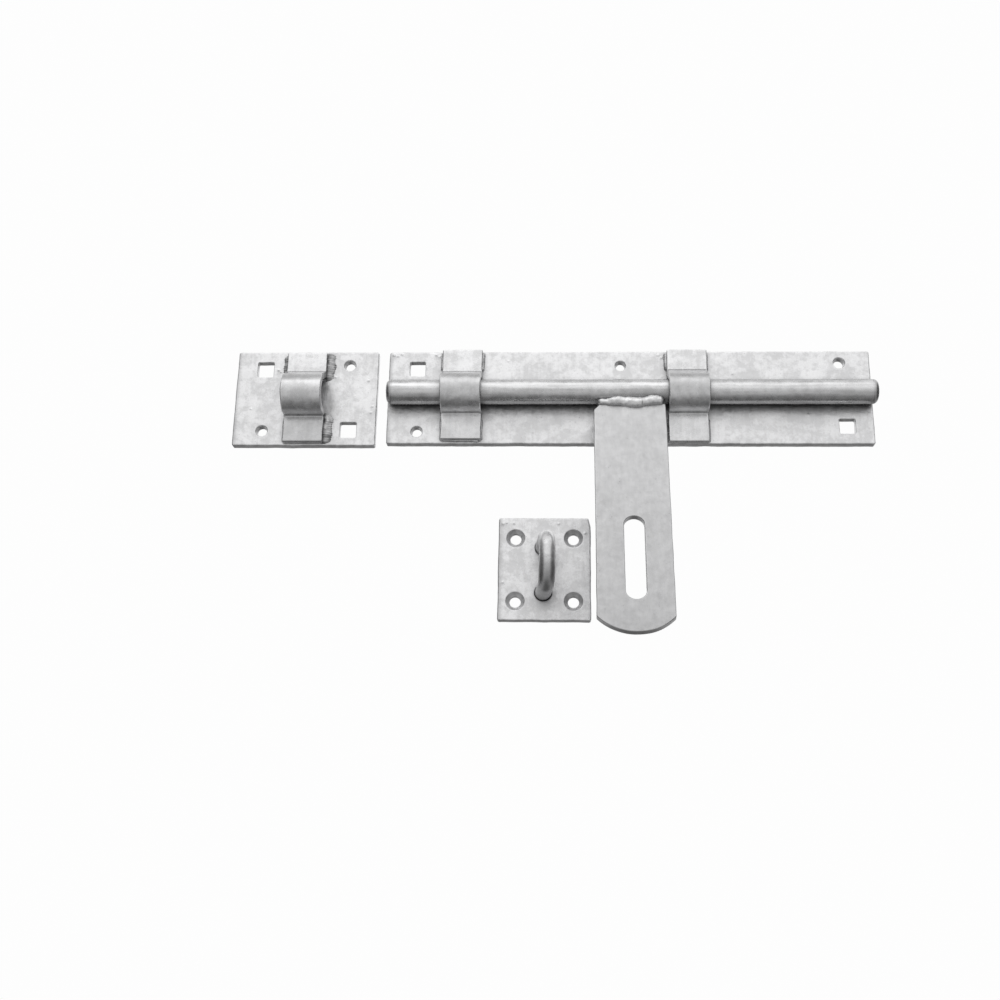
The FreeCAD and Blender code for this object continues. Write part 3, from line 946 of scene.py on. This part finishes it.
def make_rod(steps=170, around=72):
    inner_left, inner_right = ROD_LEFT_X + ROD_END_R, ROD_LEFT_X + ROD_L - ROD_END_R
    quarter = [math.radians(d) for d in (0, 18, 36, 54, 72, 90)]
    shoulder = [0.25, 0.5, 0.8, 1.2]
    first, last = inner_left + shoulder[-1], inner_right - shoulder[-1]
    stations = [ROD_LEFT_X + ROD_END_R * (1 - math.cos(a)) for a in quarter]
    stations += [inner_left + s for s in shoulder[:-1]]
    stations += [first + (last - first) * k / steps for k in range(steps + 1)]
    stations += [inner_right - s for s in shoulder[-2::-1]]
    stations += [inner_right + ROD_END_R * math.sin(a) for a in quarter]
    rings = []
    for x in stations:
        beyond = max(inner_left - x, x - inner_right, 0.0)
        drop = ROD_END_R - math.sqrt(max(0.0, ROD_END_R ** 2 - beyond ** 2))
        from_shoulder = min(abs(x - inner_left - 0.5), abs(x - inner_right + 0.5))
        ridge = 0.12 * bell(from_shoulder, 0.0, 0.35)
        ring = []
        for i in range(around):
            a = 2 * math.pi * i / around
            p = Vector((x, AXIS_Y - ROD_R * math.cos(a), ROD_R * math.sin(a)))
            uneven = 0.10 * (wobble(p, 7.0, 6.0) - 1.0) + 0.05 * (wobble(p, 2.8, 8.0) - 1.0)
            r = ROD_R - drop + uneven - ridge
            ring.append((Vector((x, AXIS_Y - r * math.cos(a), r * math.sin(a))), 0.0))
        rings.append(ring)

    def grime(p):
        """Painted shade: dark ends, and darker along the top and along the side that is turned to the plate.
        """
        from_end = min(p.x - ROD_LEFT_X, ROD_LEFT_X + ROD_L - p.x)
        facing = math.degrees(math.atan2(p.z, AXIS_Y - p.y))
        end = 0.45 * (1.0 - rise(from_end, 2.6, 1.6))
        return max(end, 0.5 * rise(facing, 36.0, 14.0), 0.6 * rise(-facing, 78.0, 14.0))

    finished(tube(rings), "bolt_rod", "bolt", "bolt", grime=grime)


# ---------------------------------------------------------------- hasp


AXIS = Vector((0.0, AXIS_Y, 0.0))
LEAN = Matrix.Translation(AXIS) @ Matrix.Rotation(-REST_LEAN, 4, "X") @ Matrix.Translation(-AXIS)


def hasp_place(u, v, depth):
    return LEAN @ Vector((u, AXIS_Y - HASP_T / 2.0 + depth, v))


def make_hasp_bar():
    left, right = HASP_X - HASP_W / 2.0, HASP_X + HASP_W / 2.0
    drop = HASP_TIP - HASP_SHOULDER
    nose_r = ((HASP_W / 2.0) ** 2 + drop ** 2) / (2.0 * drop)
    reach = math.asin((HASP_W / 2.0) / nose_r)
    centre = -HASP_TIP + nose_r
    corners = [(left, -HASP_SHOULDER, 1.3)]
    for k in range(1, 28):
        a = -reach + 2 * reach * k / 28
        corners.append((HASP_X + nose_r * math.sin(a), centre - nose_r * math.cos(a), 0.0))
    corners += [
        (right, -HASP_SHOULDER, 1.3),
        (right, -HASP_TOP, 1.5),
        (left + HASP_CORNER_CUT_X, -HASP_TOP, 1.3),
        (left, -HASP_CORNER_CUT_TO, 1.5),
    ]
    outline = roughened(rounded_outline(corners, OUTLINE_STEP), 0.18, 10.0, 5.0)
    r = SLOT_W / 2.0
    slot = []
    for start, z in ((0.0, -SLOT_TOP - r), (math.pi, -SLOT_BOTTOM + r)):
        for k in range(25):
            a = start + math.pi * k / 24
            slot.append((SLOT_X + r * math.cos(a), z + r * math.sin(a), 0.0))
    slot = roughened(rounded_outline(slot, 1.4), 0.08, 6.0, 6.0)
    rims = rim_profile(0.6, 0.45, HASP_T)
    bm = sheet([(outline, rims, 0.0), (slot, rims, 0.0)], hasp_place, gentle(7.0, 0.05), HASP_STEP, 7.0)
    upright = LEAN.inverted()

    def grime(p):
        """Painted shade on the broad faces only, more towards the tip, which hangs lowest."""
        on_edge = abs((upright @ p).y - AXIS_Y) < HASP_T / 2.0 - 0.3
        return 0.0 if on_edge else 0.25 * rise(-p.z, 0.0, HASP_TIP)

    finished(bm, "hasp_bar", "hasp", "bar", grime=grime)


def make_hasp_bead(node, side, seed):
    """Bead between the rod and one face of the bar, hugging the rod, sagging in the middle and thinning out
    to the left."""
    left_end, right_end = ((x, AXIS_Y + side * 2.5, -9.6) for x in (-16.5, 18.3))

    def fit(p):
        flat = AXIS_Y + side * 2.1
        off = Vector((0.0, flat + (p.y - flat) * 0.9 - AXIS_Y, p.z))
        least = ROD_R + 0.06
        if off.length < least:
            off = off.normalized() * least
        return LEAN @ Vector((p.x, AXIS_Y + off.y, off.z))

    def dip(t):
        return 0.7 * bell(t, 1.0, 0.2) - 1.1 * bell(t, 0.60, 0.13)

    def girth(t):
        return 1.0 - 0.42 * bell(max(0.0, t), 0.0, 0.14)

    rings = bead_rings(
        left_end, right_end, 3.4, seed, sway=0.14, ripple=0.025, around=28, dip=dip, fit=fit, girth=girth
    )
    finished(tube(rings), node, "hasp", "weld", "bead", sharp=NEVER_SHARP)


# ---------------------------------------------------------------- staple loop


def loop_path():
    """Stations (y, z above the middle, degrees) along the wire; degrees run from 180 in the lower leg to 0 in
    the upper one."""
    half = LOOP_PITCH / 2.0
    crown = half - LOOP_BEND_R
    tip_y = -(PLATE_T + LOOP_HEIGHT - WIRE_R)
    bend_y = tip_y + LOOP_BEND_R

    def bend(middle_z, start):
        made = []
        for k in range(13):
            degrees = start - 90.0 * k / 12
            a = math.radians(degrees)
            made.append((bend_y - LOOP_BEND_R * math.sin(a), middle_z + LOOP_BEND_R * math.cos(a), degrees))
        return made

    path = [(bend_y * k / 14, -half, 180.0) for k in range(14)]
    path += bend(-crown, 180.0)
    path += [(tip_y, -crown + 2 * crown * k / 8, 90.0) for k in range(1, 8)]
    path += bend(crown, 90.0)
    return path + [(bend_y * k / 14, half, 0.0) for k in range(13, -1, -1)]


def make_loop(around=36):
    path = loop_path()
    foot = Vector((LOOP_X, -PLATE_T, LOOP_Z))
    lean = Matrix.Rotation(LOOP_LEAN, 4, "Z")
    leg = lean @ Vector((0.0, -1.0, 0.0))
    rings = []
    for number, (y, dz, degrees) in enumerate(path):
        a = math.radians(degrees)
        normal = Vector((0.0, -math.sin(a), math.cos(a)))
        ring = []
        for i in range(around):
            b = 2 * math.pi * i / around
            p = Vector((LOOP_X, y, LOOP_Z + dz))
            round_way = Vector((1.0, 0.0, 0.0)) * math.cos(b) + normal * math.sin(b)
            uneven = 0.1 * (wobble(p + round_way * WIRE_R, 6.0, 12.0) - 1.0) if y < -PLATE_T - 1.0 else 0.0
            p += round_way * (WIRE_R + uneven)
            p = foot + lean @ (p - foot)
            if number in (0, len(path) - 1):
                p -= leg * (p.y / leg.y)
            ring.append((p, 0.0))
        rings.append(ring)

    def grime(p):
        """Painted shade on both legs near the plate, more on the upper one, and round the lower bend."""
        near_plate = rise(p.y, -26.0, 10.0)
        if p.z > LOOP_Z:
            return 0.55 * near_plate
        return max(0.40 * rise(LOOP_Z + 2.0 - p.z, 0.0, 8.0), 0.30 * near_plate)

    finished(tube(rings), "staple_loop", "mounting", "wire", grime=grime)


# ---------------------------------------------------------------- the object

back_plate()
keeper_plate()
staple_plate()
for index, strap_node in enumerate(STRAPS):
    make_strap(strap_node, 2.0 + 5.0 * index)
for index, bead_node in enumerate(FOOT_BEADS):
    make_foot_bead(bead_node, index)
make_end_bead()
make_rod()
make_hasp_bar()
make_hasp_bead("hasp_weld_front", -1, 2.6)
make_hasp_bead("hasp_weld_back", 1, 5.1)
make_loop()


# ---------------------------------------------------------------- studio

# The studio is in metres. First the brightness of the surroundings by height above the horizon in degrees,
# then at the far sides and low down behind the object.
SKY_STOPS = [
    (-90, 0.13), (-76, 0.15), (-60, 0.27), (-40, 0.43), (-20, 0.55), (-4, 0.60),
    (8, 0.70), (24, 0.95), (56, 1.0), (72, 0.80), (90, 0.55),
]
SIDE_SPAN = (0.58, 0.88)
SIDE_LIGHT = 0.16
BACK_LIGHT = 0.4
BACKGROUND = 0.985
FLOOR_R = 7.0
FLOOR_Z = -0.75
FLOOR_TINT = (0.93, 0.97)
CAMERA_PLACE = (-0.04255, -0.79391, -0.34731)
CAMERA_PITCH, CAMERA_YAW, CAMERA_ROLL = 19.403, -2.71, 1.043
CAMERA_LENS = 48.8


def build_world():
    """Soft light that falls off from above to below, at the far sides and low down behind the object, with a
    plain pale background."""
    world = bpy.data.worlds.new("studio")
    bpy.context.scene.world = world
    world.use_nodes = True
    world.node_tree.nodes.clear()
    nodes = Nodes(world.node_tree)

    def smooth(source, low, high, to_low, to_high):
        return nodes.remap(source, low, high, to_low, to_high, "SMOOTHSTEP")

    split = nodes.new("ShaderNodeSeparateXYZ")
    nodes.link(nodes.new("ShaderNodeTexCoord").outputs["Generated"], split.inputs["Vector"])
    height = nodes.remap(split.outputs["Z"], -1.0, 1.0, 0.0, 1.0)
    ramp = nodes.new("ShaderNodeValToRGB")
    elements = ramp.color_ramp.elements
    while len(elements) < len(SKY_STOPS):
        elements.new(0.5)
    for element, (degrees, value) in zip(elements, SKY_STOPS):
        element.position = (math.sin(math.radians(degrees)) + 1.0) / 2.0
        element.color = (value, value, value, 1.0)
    nodes.link(height, ramp.inputs["Fac"])

    sideways = nodes.math("ABSOLUTE", split.outputs["X"])
    sides = smooth(sideways, *SIDE_SPAN, 1.0, SIDE_LIGHT)
    behind = smooth(split.outputs["Y"], 0.05, 0.45, 0.0, 1.0)
    behind = nodes.math("MULTIPLY", behind, smooth(split.outputs["Z"], -0.2, 0.05, 1.0, 0.0))
    behind = nodes.math("MULTIPLY", behind, smooth(sideways, 0.35, 0.6, 1.0, 0.0))
    backs = smooth(behind, 0.0, 1.0, 1.0, BACK_LIGHT)
    lighting = nodes.new("ShaderNodeBackground")
    nodes.link(ramp.outputs["Color"], lighting.inputs["Color"])
    nodes.link(nodes.math("MULTIPLY", sides, backs), lighting.inputs["Strength"])
    plain = nodes.add("ShaderNodeBackground", Color=(BACKGROUND, BACKGROUND, BACKGROUND, 1.0))
    mix = nodes.new("ShaderNodeMixShader")
    nodes.link(nodes.new("ShaderNodeLightPath").outputs["Is Camera Ray"], mix.inputs["Fac"])
    nodes.link(lighting.outputs["Background"], mix.inputs[1])
    nodes.link(plain.outputs["Background"], mix.inputs[2])
    nodes.link(mix.outputs["Shader"], nodes.new("ShaderNodeOutputWorld").inputs["Surface"])


def build_floor():
    """Plain pale round floor, well below the object."""
    bm = bmesh.new()
    bmesh.ops.create_circle(bm, cap_ends=True, segments=96, radius=FLOOR_R)
    mesh = bpy.data.meshes.new("floor")
    bm.to_mesh(mesh)
    bm.free()
    floor = add_object("floor", mesh)
    floor.location = (0.0, 0.0, FLOOR_Z)
    material = bpy.data.materials.new("pale_floor")
    material.use_nodes = True
    shader = material.node_tree.nodes["Principled BSDF"]
    shader.inputs["Roughness"].default_value = 0.9
    nodes = Nodes(material.node_tree)
    grain = nodes.add("ShaderNodeTexNoise", Scale=3.0)
    tint = nodes.remap(grain.outputs["Fac"], 0.0, 1.0, *FLOOR_TINT)
    nodes.link(tint, shader.inputs["Base Color"])
    mesh.materials.append(material)
    floor.visible_glossy = False


def build_light(name, place, target, size, watts):
    data = bpy.data.lights.new(name, "AREA")
    data.shape = "DISK"
    data.size = size
    data.energy = watts
    light = add_object(name, data)
    light.location = place
    light.rotation_mode = "QUATERNION"
    light.rotation_quaternion = (Vector(target) - Vector(place)).to_track_quat("-Z", "Y")


def build_camera():
    pitch, yaw, roll = (math.radians(angle) for angle in (CAMERA_PITCH, CAMERA_YAW, CAMERA_ROLL))
    ahead = Vector((math.sin(yaw) * math.cos(pitch), math.cos(yaw) * math.cos(pitch), math.sin(pitch)))
    right = Vector((math.cos(yaw), -math.sin(yaw), 0.0))
    up = right.cross(ahead)
    tilted_right = right * math.cos(roll) + up * math.sin(roll)
    tilted_up = up * math.cos(roll) - right * math.sin(roll)
    data = bpy.data.cameras.new("camera")
    data.lens = CAMERA_LENS
    data.sensor_width = 36.0
    data.clip_start = 0.01
    data.clip_end = 50.0
    camera = add_object("camera", data)
    axes = Matrix((tilted_right, tilted_up, -ahead)).transposed()
    camera.matrix_world = Matrix.Translation(CAMERA_PLACE) @ axes.to_4x4()
    bpy.context.scene.camera = camera


build_world()
build_floor()
build_light("key", (-0.15, -0.75, 1.05), (-0.05, 0.0, 0.0), 0.9, 0.6)
build_camera()
bpy.context.scene.view_settings.view_transform = "Standard"
